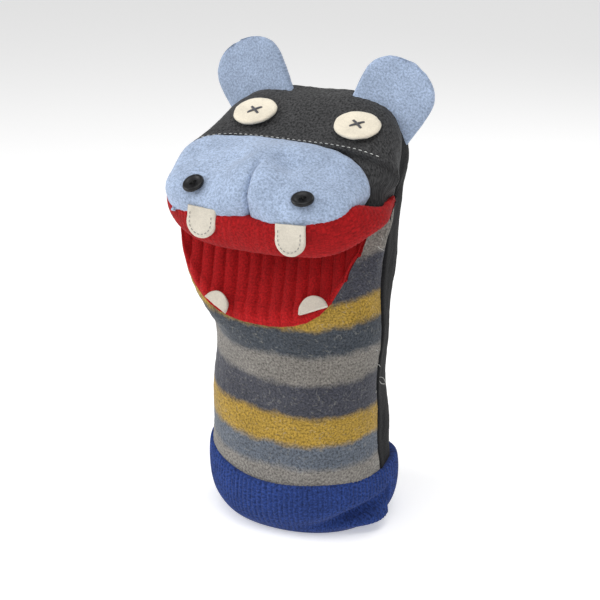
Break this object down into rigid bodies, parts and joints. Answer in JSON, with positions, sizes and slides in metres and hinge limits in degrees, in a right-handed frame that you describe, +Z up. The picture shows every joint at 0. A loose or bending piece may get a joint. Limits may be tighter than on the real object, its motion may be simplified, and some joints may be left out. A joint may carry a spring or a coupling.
{
  "type": "hand puppet",
  "caption": "Sock-style hippopotamus hand puppet of felted wool: a cuffed sleeve, a nodding head with a padded snout, a moving lower jaw, felt teeth and ears that flop",
  "frame": {"origin": "Centre of the hand opening, on the plane that the cuff stands on", "axes": "+Z up along the sleeve, -Y the way the face looks, +X the puppet's left"},
  "size_m": [0.147, 0.1275, 0.2929],
  "materials": {
    "cuff": "ribbed knit",
    "cuff_seam": "thread",
    "front_body_panel": "striped felted wool",
    "back_body_panel": "felted wool",
    "left_side_seam": "thread",
    "right_side_seam": "thread",
    "hand_lining": "fleece",
    "nape_lining": "fleece",
    "mouth_fold": "ribbed wool",
    "head_top_panel": "heathered felted wool",
    "head_back_panel": "felted wool",
    "brow_hem": "felted wool",
    "brow_topstitch": "thread",
    "left_eye": "felt",
    "right_eye": "felt",
    "left_eye_cross_stitch": "thread",
    "right_eye_cross_stitch": "thread",
    "muzzle_cover": "felted wool",
    "muzzle_backing": "felted wool",
    "muzzle_filling": "fibre filling",
    "left_nostril_button": "polished",
    "right_nostril_button": "polished",
    "left_nostril_thread": "thread",
    "right_nostril_thread": "thread",
    "upper_mouth_lining": "ribbed wool",
    "upper_mouth_board": "stiff interfacing",
    "lower_mouth_lining": "ribbed wool",
    "lower_mouth_board": "stiff interfacing",
    "chin_panel": "striped felted wool",
    "upper_left_tooth_back": "felt",
    "upper_left_tooth_front": "felt",
    "upper_right_tooth_back": "felt",
    "upper_right_tooth_front": "felt",
    "lower_left_tooth_back": "felt",
    "lower_left_tooth_front": "felt",
    "lower_right_tooth_back": "felt",
    "lower_right_tooth_front": "felt",
    "left_ear_front": "felted wool",
    "left_ear_back": "felted wool",
    "right_ear_front": "felted wool",
    "right_ear_back": "felted wool"
  },
  "bodies": {
    "sleeve": {"cuff": "cuff", "cuff_seam": "cuff_seam", "front_body_panel": "front_body_panel", "back_body_panel": "back_body_panel", "left_side_seam": "left_side_seam", "right_side_seam": "right_side_seam", "hand_lining": "hand_lining", "nape_lining": "nape_lining", "mouth_fold": "mouth_fold"},
    "head": {"head_top_panel": "head_top_panel", "head_back_panel": "head_back_panel", "brow_hem": "brow_hem", "brow_topstitch": "brow_topstitch", "left_eye": "left_eye", "right_eye": "right_eye", "left_eye_cross_stitch": "left_eye_cross_stitch", "right_eye_cross_stitch": "right_eye_cross_stitch", "muzzle_cover": "muzzle_cover", "muzzle_backing": "muzzle_backing", "muzzle_filling": "muzzle_filling", "left_nostril_button": "left_nostril_button", "right_nostril_button": "right_nostril_button", "left_nostril_thread": "left_nostril_thread", "right_nostril_thread": "right_nostril_thread", "upper_mouth_lining": "upper_mouth_lining", "upper_mouth_board": "upper_mouth_board", "upper_left_tooth_back": "upper_left_tooth_back", "upper_left_tooth_front": "upper_left_tooth_front", "upper_right_tooth_back": "upper_right_tooth_back", "upper_right_tooth_front": "upper_right_tooth_front"},
    "lower_jaw": {"lower_mouth_lining": "lower_mouth_lining", "lower_mouth_board": "lower_mouth_board", "chin_panel": "chin_panel", "lower_left_tooth_back": "lower_left_tooth_back", "lower_left_tooth_front": "lower_left_tooth_front", "lower_right_tooth_back": "lower_right_tooth_back", "lower_right_tooth_front": "lower_right_tooth_front"},
    "left_ear": {"left_ear_front": "left_ear_front", "left_ear_back": "left_ear_back"},
    "right_ear": {"right_ear_front": "right_ear_front", "right_ear_back": "right_ear_back"}
  },
  "joints": [
    {"name": "head_nod", "type": "hinge", "parent": "sleeve", "child": "head", "pos_m": [0, -0.006, 0.211], "axis": [1, 0, 0], "range_deg": [-15, 7]},
    {"name": "jaw_open", "type": "hinge", "parent": "sleeve", "child": "lower_jaw", "pos_m": [0, -0.006, 0.211], "axis": [1, 0, 0], "range_deg": [-19, 0]},
    {"name": "left_ear_flop", "type": "hinge", "parent": "head", "child": "left_ear", "pos_m": [0.0469, 0.0203, 0.2615], "axis": [0.8881, 0.1066, -0.4471], "range_deg": [-16, 16], "stiffness_Nm_per_rad": 0.03},
    {"name": "right_ear_flop", "type": "hinge", "parent": "head", "child": "right_ear", "pos_m": [-0.0469, 0.0203, 0.2615], "axis": [0.8881, -0.1066, 0.4471], "range_deg": [-16, 16], "stiffness_Nm_per_rad": 0.03}
  ]
}
